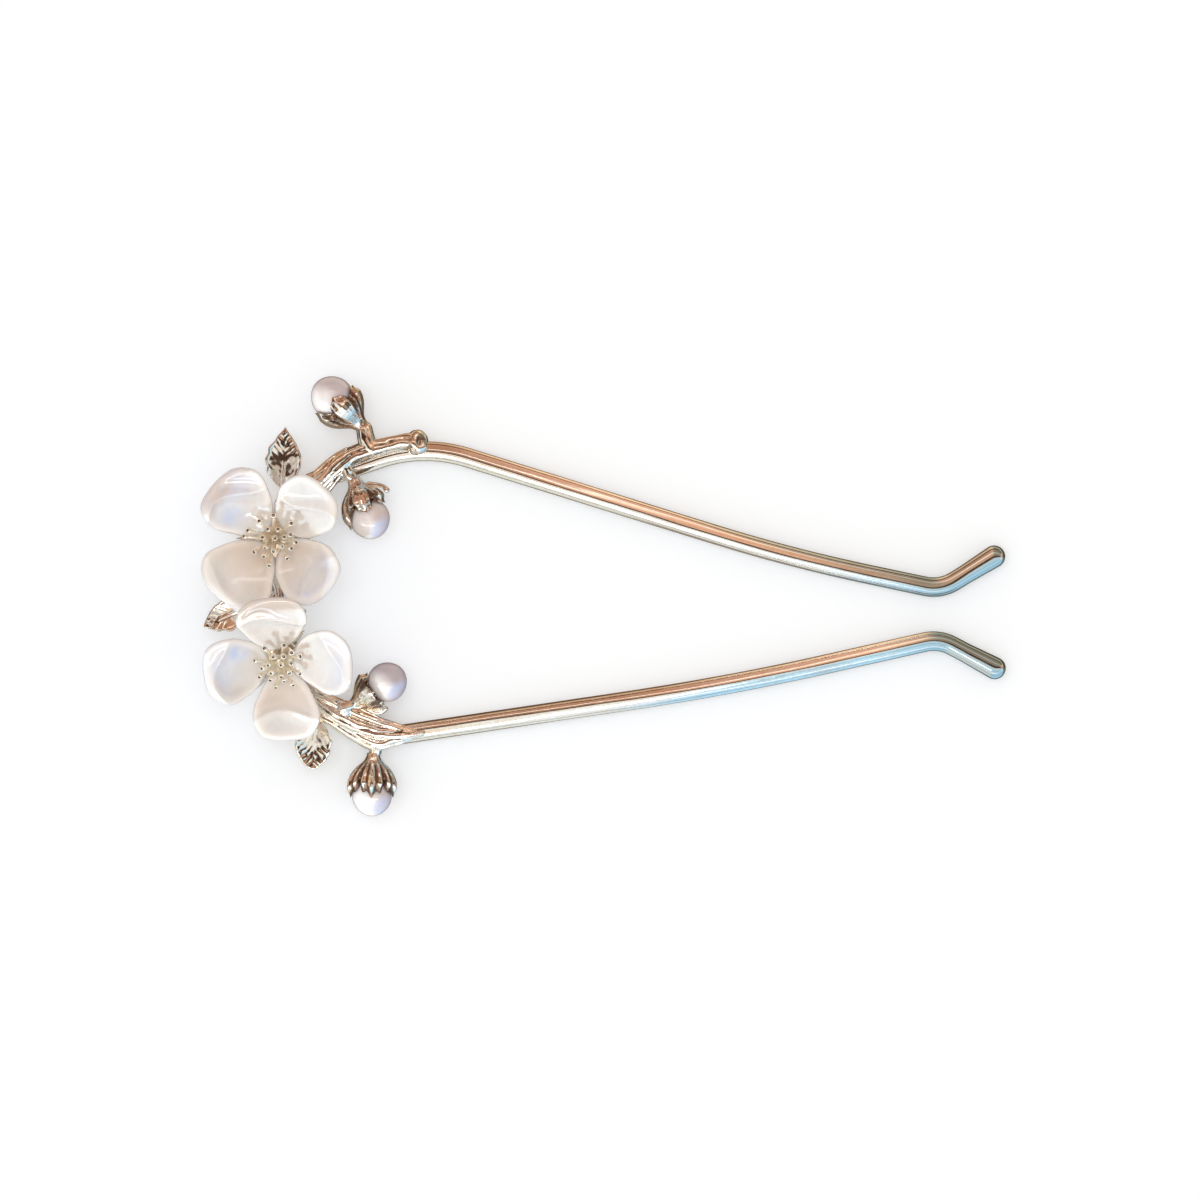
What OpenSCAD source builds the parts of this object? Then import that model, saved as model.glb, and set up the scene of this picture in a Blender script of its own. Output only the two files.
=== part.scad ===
// Hair fork with two blossoms, three leaves and four pearl buds on a cast branch.
// It lies flat on its back: X runs towards the prong tips, Y across the prongs, Z up to the flowers.

/* [Fork] */
// Diameter of the round rod
rod_d = 3.4; // [2.8:0.1:3.8]
// Diameter of the prongs at their blunt ends
tip_d = 3.9; // [3.8:0.1:4.2]
// Length over which a prong thickens towards its end
tip_len = 6; // [4:0.5:8]
// Diameter of the flat pads forged in the rod under the flowers
pad_d = 6.8; // [6:0.2:8]

/* [Flowers] */
// Thickness of a petal at its middle
petal_t = 1.3; // [0.9:0.1:1.6]
// Angle at which the petals rise from the flower's plane
petal_rise = 26; // [20:1:30]
// How far a petal's side edges curl up
petal_cup = 1.1; // [0.4:0.1:1.6]
// Distance of the petals' roots from the flower's axis
petal_root = 1.9; // [1.6:0.1:2.4]
// Diameter of the rivet that holds the flower's cup to its pad
rivet_d = 1.4; // [1:0.1:1.8]
// Length of a sepal of the flower's cup
sepal_len = 4.6; // [4:0.2:6]

/* [Stamens] */
// Diameter of a filament
filament_d = 0.36; // [0.3:0.02:0.4]
// Diameter of the bead at a filament's end
anther_d = 0.86; // [0.7:0.02:1]
// Filaments in the outer ring
outer_count = 12; // [8:2:12]
// Filaments in the inner ring
inner_count = 7; // [5:1:8]

/* [Buds] */
// Diameter of the largest pearl
pearl_d = 7.4; // [6.8:0.1:7.6]
// Wall of a calyx round its pearl
calyx_wall = 0.7; // [0.5:0.1:0.8]
// Diameter of the wire peg in a pearl
peg_d = 1; // [0.8:0.1:1.2]
// Sepals on a calyx
calyx_sepals = 5; // [4:1:6]

/* [Leaves] */
// Thickness of a leaf at its middle
leaf_t = 0.9; // [0.7:0.1:1.2]
// How far a leaf's edges fold up from its midrib
leaf_cup = 0.8; // [0.4:0.1:1.2]

/* [Hidden] */
$fn = 48;
FINE = 0.01;
// Gold, opal glass and pearl
GOLD = [0.88, 0.77, 0.62];
PALE_GOLD = [0.93, 0.85, 0.68];
OPAL = [0.97, 0.94, 0.92];
PEARL = [0.93, 0.88, 0.90];

// The rod's axis lies level, so high that the thicker tips just touch the ground
rod_z = tip_d / 2;
pad_top = 2 * rod_z;

// Bends and prong ends are a hair thicker than the straight stretches that run into them
bend_d = rod_d + 0.04;
lap = 0.4;

// Corners of the rod's axis: x, y and the radius of the bend there. The first and last are its ends.
FORK = [
    [68.3, 6.7, 0],
    [59, 0.95, 7],
    [33, 6.4, 300],
    [-31.5, 26.4, 25],
    [-57.5, 17.5, 12],
    [-57.5, -12.5, 12],
    [-42.1, -25.4, 14],
    [21.5, -16, 500],
    [58.7, -7.7, 7],
    [68.4, -12.8, 0]
];

// Flowers: x, y and how far the axis leans towards -Y
FLOWERS = [[-57.2, 10, 4], [-56.1, -11, 16]];
flower_z = pad_top + 1.7;
// Petals of each flower: direction, length, width
PETALS = [
    [[134, 14.1, 12], [44, 12.4, 11.3], [227, 13.9, 12.9], [316, 12.8, 11.4]],
    [[99, 12.6, 11.8], [5, 12.4, 11.5], [277, 12.9, 11.3], [185, 13, 11.6]]
];
// Directions of the sepals, in the gaps between the petals
SEPALS = [[0, 88, 181, 271], [52, 142, 231, 321]];

// Buds: pearl's centre x, y, z, direction from stem to tip, pearl's size against the largest,
// and how far behind the pearl's centre the calyx's sepals end
BUDS = [
    [-47.2, 34.4, 5.3, 136, 1, 1.2],
    [-40.7, 13.3, 5, 292, 0.95, 1.8],
    [-37.7, -15.2, 4.8, 35, 0.93, 2.2],
    [-40.3, -35, 4.7, 268, 0.94, 0.8]
];
boss_d = 2.5;
boss_h = 1.3;
// The calyx is a bowl set back from the pearl's centre, on a tapered stem
bowl_back = 1.5;
calyx_long = 7.5;
stem_long = 3;
stem_d = 2.3;
calyx_notch = 1.9;
glue = 0.05;

// Leaves: x, y, z of the base, direction, length, width, rise, and x, y, z of the stalk's foot
LEAVES = [
    [-55.9, 18.6, 4.5, 87, 10.8, 6.2, 8, -55.6, 15.8, 4.3],
    [-61.8, -1.9, 4.4, 205, 8.7, 5.5, 6, -59, -1.4, 4.4],
    [-50.2, -21.2, 4.6, 267, 9.2, 6.3, 4, -49.2, -20.3, 4.8]
];

// Routes of the cast limbs: x, y, z and radius at each point
UPPER_LIMBS = [
    [[-32.2, 26.5, 5.7, 2.2], [-34.6, 26.6, 5.2, 1.5], [-36.7, 26.3, 5.1, 1.4], [-39.8, 25.6, 5.1, 1.4],
     [-43.1, 24.6, 5.1, 1.5], [-45.8, 22.9, 5.2, 1.6], [-49.4, 19.4, 5.1, 1.2], [-53.1, 15.6, 5, 1.1],
     [-55, 13.9, 4.9, 0.9]],
    [[-44.6, 24.6, 5.2, 1.1], [-47.4, 22.9, 5.2, 1], [-51.2, 19.4, 5, 0.9], [-54, 16.2, 4.9, 0.8]],
    [[-45.4, 22.2, 5.2, 1.2], [-48.2, 18.6, 5, 0.9], [-51.6, 15, 4.9, 0.8]],
    [[-45.2, 22.6, 5.2, 1.4], [-44.5, 21, 5.1, 1.1], [-43.9, 20.6, 5, 1]],
    [[-40.6, 25.6, 5.1, 1.5], [-41.2, 27, 5.2, 1.5], [-41.6, 28.8, 5.3, 1.4]]
];
CROWN_LIMBS = [
    [[-58, 6.2, 4.9, 0.8], [-57.7, 3.5, 4.8, 1], [-57, 0, 4.7, 1.1], [-57.4, -3, 4.7, 1.1],
     [-57, -7, 4.8, 0.8]],
    [[-56.4, 5.6, 4.6, 0.7], [-56.6, 2.4, 4.6, 0.8], [-57.6, -0.6, 4.8, 1]],
    [[-57, -0.4, 4.8, 0.7], [-54.8, -1.4, 5, 0.35], [-52.7, -2.5, 5.2, 0.4]]
];
LOWER_LIMBS = [
    [[-53.2, -14.3, 4.5, 0.7], [-50, -17.2, 4.8, 1], [-46.8, -18.9, 4.8, 1.1], [-44.4, -20, 4.8, 1.2],
     [-40, -22, 4.8, 1.1], [-36.5, -23.2, 4.7, 1], [-33, -24, 4.4, 0.6]],
    [[-52.2, -18.8, 4.6, 0.8], [-50, -20.5, 4.6, 0.9], [-46.8, -22.2, 4.7, 1], [-42.6, -24.8, 4.8, 1.1],
     [-39.6, -26, 4.8, 1.1], [-36.5, -25.4, 4.8, 1], [-33, -24.6, 4.4, 0.6]],
    [[-51.6, -16.6, 4.6, 0.8], [-47.5, -20.4, 5.1, 1.1], [-43, -22.8, 5.2, 1.2], [-38.5, -24.2, 5, 1.2],
     [-34.5, -24.4, 4.8, 0.8], [-31.5, -24.1, 4.4, 0.5]],
    [[-45.1, -20.1, 5.4, 1.2], [-43.9, -19.5, 4.9, 1.1]],
    [[-39.6, -26, 4.8, 1.1], [-39.7, -27.4, 4.7, 1]]
];

BUD_NAMES = ["upper_outer", "upper_inner", "lower_inner", "lower_outer"];
LEAF_NAMES = ["leaf_upper", "leaf_crown", "leaf_lower"];
FLOWER_NAMES = ["upper", "lower"];

// ---- The rod ----

function corner(i) = [FORK[i][0], FORK[i][1]];
function toward(a, b) = (b - a) / norm(b - a);
function heading(v) = atan2(v[1], v[0]);
function bend_angle(i) =
    acos(toward(corner(i - 1), corner(i)) * toward(corner(i), corner(i + 1)));
function tangent(i) = FORK[i][2] == 0 ? 0 : FORK[i][2] * tan(bend_angle(i) / 2);
function bend_start(i) = corner(i) + tangent(i) * toward(corner(i), corner(i - 1));
function bend_end(i) =
    FORK[i][2] == 0 ? corner(i) : corner(i) + tangent(i) * toward(corner(i), corner(i + 1));
function bend_centre(i) =
    let(a = toward(corner(i), corner(i - 1)), b = toward(corner(i), corner(i + 1)))
    corner(i) + (a + b) / norm(a + b) * FORK[i][2] / cos(bend_angle(i) / 2);
function turns_left(i) =
    let(a = corner(i) - corner(i - 1), b = corner(i + 1) - corner(i))
    a[0] * b[1] - a[1] * b[0] > 0;

module rod_bend(i) {
    c = bend_centre(i);
    from = turns_left(i) ? bend_start(i) : bend_end(i);
    translate([c[0], c[1], rod_z])
        rotate([0, 0, heading(from - c)])
            rotate_extrude(angle = bend_angle(i), $fn = 180)
                translate([FORK[i][2], 0])
                    circle(d = bend_d);
}

// A straight stretch, which runs a little way into its neighbours
module rod_straight(a, b) {
    translate([a[0], a[1], rod_z])
        rotate([0, 90, heading(b - a)])
            translate([0, 0, -lap])
                cylinder(h = norm(b - a) + 2 * lap, d = rod_d);
}

// A prong's end: it thickens over tip_len and closes in a dome
module prong_end(at, dir) {
    translate([at[0], at[1], rod_z])
        rotate([0, 90, dir])
            rotate_extrude()
                intersection() {
                    union() {
                        polygon([[0, -tip_len], [bend_d / 2, -tip_len], [tip_d / 2, 0], [0, 0]]);
                        circle(d = tip_d);
                    }
                    translate([0, -tip_len])
                        square([tip_d, tip_len + tip_d]);
                }
}

module fork() {
    last = len(FORK) - 1;
    first_dir = toward(corner(1), corner(0));
    last_dir = toward(corner(last - 1), corner(last));
    color(GOLD)
        difference() {
            union() {
                rod_straight(corner(0) - tip_len * first_dir, bend_start(1));
                for (i = [1 : last - 1]) rod_bend(i);
                for (i = [1 : last - 2]) rod_straight(bend_end(i), bend_start(i + 1));
                rod_straight(bend_end(last - 1), corner(last) - tip_len * last_dir);
                prong_end(corner(0), heading(first_dir));
                prong_end(corner(last), heading(last_dir));
                for (f = FLOWERS) translate([f[0], f[1], 0]) cylinder(h = pad_top, d = pad_d);
            }
            for (f = FLOWERS) translate([f[0], f[1], 0]) rivet_shape(1);
        }
}

// ---- Flowers ----

// The rivet's countersunk head lies flush in the back of the pad. over lets the pad's hole run past its face.
module rivet_shape(over = 0) {
    head = rivet_d / 2;
    translate([0, 0, -over])
        cylinder(h = pad_top + 1.2 + over, d = rivet_d);
    cylinder(h = head, r1 = rivet_d, r2 = rivet_d / 2);
    if (over > 0)
        translate([0, 0, -over])
            cylinder(h = over + FINE, r = rivet_d);
}

module flower_rivet(i) {
    color(PALE_GOLD)
        translate([FLOWERS[i][0], FLOWERS[i][1], 0])
            rivet_shape();
}

// Puts its children in a flower's own frame, with Z along its leaning axis
module in_flower(i) {
    translate([FLOWERS[i][0], FLOWERS[i][1], flower_z])
        rotate([FLOWERS[i][2], 0, 0])
            children();
}

module sepal() {
    tip = sepal_len;
    rotate([0, -16, 0])
        linear_extrude(0.45)
            polygon([[0, -0.9], [tip * 0.35, -1.15], [tip * 0.7, -0.7], [tip, 0],
                     [tip * 0.7, 0.7], [tip * 0.35, 1.15], [0, 0.9]]);
}

module flower_cup(i) {
    neck_d = 3.4;
    color(GOLD)
        difference() {
            union() {
                translate([FLOWERS[i][0], FLOWERS[i][1], pad_top])
                    cylinder(h = 1.5, d = neck_d);
                in_flower(i) {
                    difference() {
                        translate([0, 0, -0.6])
                            cylinder(h = 1.5, d1 = neck_d, d2 = 7.2);
                        translate([0, 0, 0.1])
                            cylinder(h = 1, d1 = 2.5, d2 = 7.1);
                    }
                    for (a = SEPALS[i])
                        rotate([0, 0, a]) translate([2.4, 0, 0]) sepal();
                }
            }
            translate([FLOWERS[i][0], FLOWERS[i][1], 0])
                rivet_shape();
        }
}

// Points of a thin blade: rings on its upper face from the middle out to the rim, then back in below.
// nip narrows its base, point sharpens its ends, cup lifts its sides and curl lifts its tip.
RINGS = 4;
ROUND = 24;
function outline(a, size, nip, point) =
    [size[0] * (1 + cos(a)) / 2,
     size[1] / 2 * sign(sin(a)) * pow(abs(sin(a)), point) * (1 + nip * cos(a))];
function blade_point(k, a, size, thick, nip, point, cup, curl) =
    let(share = 1 - abs(k - RINGS) / RINGS,
        side = k <= RINGS ? 1 : -1,
        mid = [size[0] / 2, 0],
        p = mid + share * (outline(a, size, nip, point) - mid),
        lift = cup * pow(2 * p[1] / size[1], 2) + curl * pow(p[0] / size[0], 2))
    [p[0], p[1], lift + side * thick / 2 * sqrt(1 - pow(share, 3))];

module blade(size, thick, nip, point, cup, curl) {
    rings = 2 * RINGS - 1;
    points = concat(
        [blade_point(0, 0, size, thick, nip, point, cup, curl)],
        [for (k = [1 : rings]) for (i = [0 : ROUND - 1])
            blade_point(k, 360 * i / ROUND, size, thick, nip, point, cup, curl)],
        [blade_point(2 * RINGS, 0, size, thick, nip, point, cup, curl)]);
    function at(k, i) = 1 + (k - 1) * ROUND + i % ROUND;
    end = len(points) - 1;
    faces = concat(
        [for (i = [0 : ROUND - 1]) [0, at(1, i + 1), at(1, i)]],
        [for (k = [1 : rings - 1]) for (i = [0 : ROUND - 1]) [at(k, i), at(k, i + 1), at(k + 1, i + 1)]],
        [for (k = [1 : rings - 1]) for (i = [0 : ROUND - 1]) [at(k, i), at(k + 1, i + 1), at(k + 1, i)]],
        [for (i = [0 : ROUND - 1]) [end, at(rings, i), at(rings, i + 1)]]);
    polyhedron(points, faces);
}

module petal(i, p) {
    shape = PETALS[i][p];
    color(OPAL)
        in_flower(i)
            rotate([0, 0, shape[0]])
                translate([petal_root, 0, 0.8])
                    rotate([0, -petal_rise, 0])
                        blade([shape[1], shape[2]], petal_t, 0.36, 0.8, petal_cup, 0.5);
}

// A filament from inside the boss to a bead at distance reach from the axis and height up
module filament(turn, reach, up) {
    long = norm([reach, up]);
    root = 0.42 * boss_d;
    rotate([0, atan2(reach, up), turn]) {
        translate([0, 0, root])
            cylinder(h = long - root, d = filament_d, $fn = 16);
        translate([0, 0, long])
            sphere(d = anther_d, $fn = 20);
    }
}

module stamens(i) {
    color(PALE_GOLD)
        in_flower(i) {
            translate([0, 0, 0.1])
                cylinder(h = boss_h, d = 0.8 * boss_d);
            translate([0, 0, boss_h]) {
                sphere(d = boss_d);
                for (k = [0 : outer_count - 1])
                    filament(k * 360 / outer_count, k % 2 == 0 ? 5 : 4, k % 2 == 0 ? 2.8 : 3.4);
                for (k = [0 : inner_count - 1])
                    filament(15 + k * 360 / inner_count, 1.9, 3.6);
                filament(0, 0, 3.2);
            }
        }
}

// ---- Buds ----

function pearl_r(i) = pearl_d / 2 * BUDS[i][4];

// Puts its children in a bud's frame: the pearl's centre, with Z from the stem towards the pearl's tip
module in_bud(i) {
    b = BUDS[i];
    translate([b[0], b[1], b[2]])
        rotate([0, 90, b[3]])
            children();
}

module peg_shape(i, long) {
    translate([0, 0, -pearl_r(i) - 1.6])
        cylinder(h = long, d = peg_d);
}

module pearl(i) {
    color(PEARL)
        in_bud(i)
            difference() {
                sphere(r = pearl_r(i));
                peg_shape(i, pearl_r(i) + 2);
            }
}

module peg(i) {
    color(PALE_GOLD)
        in_bud(i)
            peg_shape(i, pearl_r(i) + 1.6);
}

function calyx_r(i) = pearl_r(i) + glue + calyx_wall;

module calyx_stem(i) {
    translate([0, 0, -calyx_long])
        cylinder(h = stem_long, d1 = stem_d, d2 = calyx_r(i));
}

module calyx(i) {
    outer = calyx_r(i);
    color(GOLD)
        in_bud(i)
            difference() {
                union() {
                    translate([0, 0, -bowl_back])
                        sphere(r = outer);
                    calyx_stem(i);
                }
                sphere(r = pearl_r(i) + glue);
                peg_shape(i, pearl_r(i));
                translate([0, 0, outer - BUDS[i][5]])
                    cube([3 * outer, 3 * outer, 2 * outer], center = true);
                for (k = [0 : calyx_sepals - 1])
                    rotate([0, 0, (k + 0.5) * 360 / calyx_sepals])
                        rotate([90, 0, 90])
                            translate([0, -BUDS[i][5]])
                                linear_extrude(2 * outer)
                                    polygon([[0, -calyx_notch], [outer / 2, FINE], [-outer / 2, FINE]]);
            }
}

// ---- Branches and leaves ----

// A limb of round sections that run smoothly into each other
module limb(route) {
    for (k = [0 : len(route) - 2])
        hull()
            for (p = [route[k], route[k + 1]])
                translate([p[0], p[1], p[2]])
                    sphere(r = p[3], $fn = 14);
}

// A branch has sockets for the stems of its buds and the stalk of its leaf
module branch(routes, buds, leaf) {
    color(GOLD)
        difference() {
            for (route = routes) limb(route);
            for (i = buds) in_bud(i) calyx_stem(i);
            leaf_stalk(leaf);
        }
}

module upper_branch() { branch(UPPER_LIMBS, [0, 1], 0); }
module lower_branch() { branch(LOWER_LIMBS, [2, 3], 2); }
module crown_stem() { color(GOLD) for (route = CROWN_LIMBS) limb(route); }

module leaf_stalk(i) {
    l = LEAVES[i];
    limb([[l[7], l[8], l[9], 0.7], [l[0], l[1], l[2], 0.5],
          [l[0] + cos(l[3]), l[1] + sin(l[3]), l[2] + 0.1, 0.35]]);
}

module leaf(i) {
    l = LEAVES[i];
    color(GOLD) {
        translate([l[0], l[1], l[2]])
            rotate([0, 0, l[3]])
                rotate([0, -l[6], 0])
                    blade([l[4], l[5]], leaf_t, 0.1, 1.3, leaf_cup, 0);
        leaf_stalk(i);
    }
}

// ---- One line for each node ----

fork();
upper_branch();
crown_stem();
lower_branch();
for (i = [0 : len(LEAVES) - 1])
    leaf(i);
for (i = [0 : len(BUDS) - 1]) {
    calyx(i);
    peg(i);
    pearl(i);
}
for (i = [0 : len(FLOWERS) - 1]) {
    flower_cup(i);
    flower_rivet(i);
    stamens(i);
    for (p = [0 : 3])
        petal(i, p);
}
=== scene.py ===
"""Looks of the decorative hair fork: a polished rod, cast branches and leaves, opal petals and pearl buds.

Lengths here are in millimetres, and a mesh is made in metres.
"""
import random
from math import acos, asin, copysign, cos, exp, pi, radians, sin, sqrt, tan

import bpy
import numpy as np
from mathutils import Matrix, Vector, noise
from mathutils.kdtree import KDTree


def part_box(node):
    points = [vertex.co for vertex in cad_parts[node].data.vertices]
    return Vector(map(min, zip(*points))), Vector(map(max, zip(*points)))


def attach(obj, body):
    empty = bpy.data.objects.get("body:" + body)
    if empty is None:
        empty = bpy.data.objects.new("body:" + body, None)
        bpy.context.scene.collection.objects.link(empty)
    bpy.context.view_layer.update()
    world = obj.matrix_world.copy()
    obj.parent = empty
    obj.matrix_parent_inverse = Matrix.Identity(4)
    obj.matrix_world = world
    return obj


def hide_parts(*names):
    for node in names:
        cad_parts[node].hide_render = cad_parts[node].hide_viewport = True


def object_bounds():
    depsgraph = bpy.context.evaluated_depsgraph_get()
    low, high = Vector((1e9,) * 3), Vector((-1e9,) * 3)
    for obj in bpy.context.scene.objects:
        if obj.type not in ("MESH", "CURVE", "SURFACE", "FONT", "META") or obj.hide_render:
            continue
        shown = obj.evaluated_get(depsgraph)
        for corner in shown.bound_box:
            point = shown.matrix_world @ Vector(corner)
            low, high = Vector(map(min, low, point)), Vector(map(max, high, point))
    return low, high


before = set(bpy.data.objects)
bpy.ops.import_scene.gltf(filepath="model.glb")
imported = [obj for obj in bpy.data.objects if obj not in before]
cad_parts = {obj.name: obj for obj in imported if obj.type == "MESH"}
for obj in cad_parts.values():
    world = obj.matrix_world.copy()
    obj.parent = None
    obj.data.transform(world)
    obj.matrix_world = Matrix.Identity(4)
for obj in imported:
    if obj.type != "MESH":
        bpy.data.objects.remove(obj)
cad_low, cad_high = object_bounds()

MM = 0.001
TAU = 2 * pi
UP = np.array((0.0, 0.0, 1.0))


# ---- the design's own numbers

ROD_R = 1.7
TIP_R = 1.95
TIP_LEN = 6.0
PAD_R = 3.4
PAD_TOP = 3.9
PAD_EDGE = 0.45
RIVET_R = 0.7
# Radius and depth of the sink for the rivet's head
SINK_R = 1.43
SINK_DEEP = 0.72

# Corners of the rod's axis: x, y and the radius of the bend there
FORK = [
    (68.3, 6.7, 0), (59, 0.95, 7), (33, 6.4, 300), (-31.5, 26.4, 25), (-57.5, 17.5, 12),
    (-57.5, -12.5, 12), (-42.1, -25.4, 14), (21.5, -16, 500), (58.7, -7.7, 7), (68.4, -12.8, 0),
]

# Flowers: x, y, lean towards -Y, and the petals' direction, length and width
FLOWERS = {
    "upper": (-57.2, 10, 4, [(134, 14.1, 12), (44, 12.4, 11.3), (227, 13.9, 12.9), (316, 12.8, 11.4)]),
    "lower": (-56.1, -11, 16, [(99, 12.6, 11.8), (5, 12.4, 11.5), (277, 12.9, 11.3), (185, 13, 11.6)]),
}
FLOWER_Z = 5.6
PETAL_ROOT = 1.9
PETAL_RISE = 26
SEPALS = {"upper": (0, 88, 181, 271), "lower": (52, 142, 231, 321)}
# Outer filaments of each flower: direction and reach
FILAMENTS = {
    "upper": [(90, 4.0), (41, 4.1), (131, 3.9), (164, 4.3), (177, 5.2), (216, 4.0),
              (240, 3.2), (262, 4.2), (308, 4.0), (334, 3.2), (357, 3.9), (16, 3.1)],
    "lower": [(125, 3.9), (79, 3.7), (29, 3.8), (167, 4.3), (205, 3.8), (186, 2.9),
              (236, 2.9), (260, 3.7), (283, 2.7), (306, 3.8), (342, 3.6), (54, 3.1)],
}
# Height of the boss that they stand on, and radius of their beads
BOSS_H = 1.3
BEAD_R = 0.54
# Each flower's seeds
PETAL_SEEDS = {"upper": 5, "lower": 6}
STAMEN_SEEDS = {"upper": 11, "lower": 23}

# The wavy ridge across each petal: where it lies, its height, how far it swings and its phase.
# Then its colours: warmth at the root (a beige that is partly painted shade), coolness at the outside (a
# painted blue reflection), warmth at the outside (painted shade, darker above 1), and the middle of its painted
# blue reflection patch, along and across
CREASES = {
    "upper": [
        (0.66, 0.75, 0.17, 0.5, 0.35, 1.0, 1.25, (0.53, 0.38)),
        (0.62, 0.8, 0.2, 3.3, 0.15, 0.1, 0, None),
        (0.8, 0.4, 0.1, 1.2, 1.0, 0.1, 0, None),
        (0.74, 0.5, 0.12, 4.2, 0.7, 0.9, 0, (0.86, -0.6)),
    ],
    "lower": [
        (0.62, 0.7, 0.1, 0.4, 0.45, 0.1, 1.7, None),
        (0.72, 0.6, 0.14, 2.6, 0.3, 0.35, 0, None),
        (0.66, 0.62, 0.1, 5.2, 0.9, 0.1, 0, None),
        (0.74, 0.5, 0.14, 1.0, 0.35, 1.0, 0, (0.47, -0.5)),
    ],
}

# Buds: direction, size of the pearl against the largest, how far behind its centre the sepals end,
# and how much further each of the five sepals reaches (the first one points up)
BUDS = {
    "upper_outer": (136, 1, 1.2, (0.9, 0.2, -0.3, -0.3, 1.5)),
    "upper_inner": (292, 0.95, 1.8, (0.7, 2.7, 0.5, 0.0, 0.2)),
    "lower_inner": (35, 0.93, 2.2, (-0.6, -0.3, 0.2, 0.4, 0.4)),
    "lower_outer": (268, 0.94, 0.8, (0.6, 0.9, 0.2, 0.3, 0.6)),
}
PEARL_R = 3.7
# How grey each pearl's body is
GREY_PEARLS = {"upper_outer": 0.6, "upper_inner": 0.1, "lower_inner": 1.0, "lower_outer": 0}
# Fine ribs of each calyx: number and height, and how much painted shade darkens the rim
CALYX_RIBS = {"upper_outer": (18, 0.07, 0.3), "upper_inner": (18, 0.07, 0.3),
              "lower_inner": (18, 0.07, 0.3), "lower_outer": (15, 0.24, 0.9)}
CALYX_WALL = 0.7
# A calyx's outside: heights and radii, where the radius of the pearl and the wall add up to BOWL_FOR
BOWL = [(-7.5, 1.15), (-6.8, 1.3), (-6.2, 1.6), (-5.7, 2.05), (-5.2, 2.6), (-4.7, 3.1), (-4.2, 3.5),
        (-3.5, 3.92), (-2.5, 4.3), (-1.5, 4.42), (-0.5, 4.35), (0.5, 4.1), (1.5, 3.8), (3, 3.2)]
BOWL_FOR = 4.45
# A curled tip beside some calyxes: the side it is on, and its route's distances from the axis and heights
TENDRILS = {
    "upper_inner": (100, [(2.2, -5.6), (3.4, -5.0), (4.4, -4.3), (4.7, -3.5)]),
    "lower_inner": (262, [(2.0, -5.4), (3.2, -4.7), (3.8, -3.7), (3.7, -2.9)]),
}
PEG_R = 0.5
GLUE = 0.05

# Leaves: x, y, z of the base, direction, length, width, rise, and x, y, z of the stalk's foot
LEAVES = {
    "leaf_upper": (-55.9, 18.6, 4.5, 87, 10.8, 6.2, 8, -55.6, 15.8, 4.3),
    "leaf_crown": (-61.8, -1.9, 4.4, 205, 8.7, 5.5, 6, -59, -1.4, 4.4),
    "leaf_lower": (-50.2, -21.2, 4.6, 267, 9.2, 6.3, 4, -49.2, -20.3, 4.8),
}
# How sharp each leaf's tip is, where it is widest (the more, the nearer to the tip) and how high its waves are
LEAF_FORMS = {
    "leaf_upper": (0.45, 0.88, 0.02),
    "leaf_crown": (0.2, 0.88, 0.18),
    "leaf_lower": (-0.12, 1.1, 0.18),
}

# Routes of the cast limbs: x, y, z and radius at each point
UPPER_LIMBS = [
    [(-32.6, 26.5, 5.6, 1.7), (-34.6, 26.6, 5.2, 1.5), (-36.7, 26.3, 5.1, 1.4), (-39.8, 25.6, 5.1, 1.4),
     (-43.1, 24.6, 5.1, 1.5), (-45.8, 22.9, 5.2, 1.6), (-49.4, 19.4, 5.1, 1.2), (-53.1, 15.6, 5, 1.1),
     (-55, 13.9, 4.9, 0.9)],
    [(-44.6, 24.6, 5.2, 1.1), (-47.4, 22.9, 5.2, 1), (-51.2, 19.4, 5, 0.9), (-54, 16.2, 4.9, 0.8)],
    [(-45.4, 22.2, 5.2, 1.2), (-48.2, 18.6, 5, 0.9), (-51.6, 15, 4.9, 0.8)],
    [(-45.2, 22.6, 5.2, 1.4), (-44.5, 21, 5.1, 1.1), (-43.9, 20.6, 5, 1)],
    [(-40.6, 25.6, 5.1, 1.5), (-41.2, 27, 5.2, 1.5), (-41.6, 28.8, 5.3, 1.4)],
]
CROWN_LIMBS = [
    [(-58, 6.2, 4.9, 0.8), (-57.7, 3.5, 4.8, 1), (-57, 0, 4.7, 1.1), (-57.4, -3, 4.7, 1.1),
     (-57, -7, 4.8, 0.8)],
    [(-56.4, 5.6, 4.6, 0.7), (-56.6, 2.4, 4.6, 0.8), (-57.6, -0.6, 4.8, 1)],
    [(-57, -0.4, 4.8, 0.7), (-54.8, -1.4, 5, 0.35), (-52.1, -2.9, 5.4, 0.4)],
]
LOWER_LIMBS = [
    [(-53.2, -14.3, 4.5, 0.7), (-50, -17.2, 4.8, 1), (-46.8, -18.9, 4.8, 1.1), (-44.4, -20, 4.8, 1.2),
     (-40, -22, 4.8, 1.1), (-36.5, -23.2, 4.7, 1), (-33, -24, 4.4, 0.6)],
    [(-52.2, -18.8, 4.6, 0.8), (-50, -20.5, 4.6, 0.9), (-46.8, -22.2, 4.7, 1), (-42.6, -24.8, 4.8, 1.1),
     (-39.6, -26, 4.8, 1.1), (-36.5, -25.4, 4.8, 1), (-33, -24.6, 4.4, 0.6)],
    [(-51.6, -16.6, 4.6, 0.8), (-47.5, -20.4, 5.1, 1.1), (-43, -22.8, 5.2, 1.2), (-38.5, -24.2, 5, 1.2),
     (-34.5, -24.4, 4.8, 0.8), (-31.5, -24.1, 4.4, 0.5)],
    [(-45.1, -20.1, 5.4, 1.2), (-43.9, -19.5, 4.9, 1.1)],
    [(-39.6, -26, 4.8, 1.1), (-39.7, -27.4, 4.7, 1)],
]


# ---- small maths

def unit(v):
    return np.asarray(v, float) / max(np.linalg.norm(v), 1e-12)


def bump(x, centre, width):
    """1 at the centre, falling off smoothly over the width."""
    return exp(-((x - centre) / width) ** 2)


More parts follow.
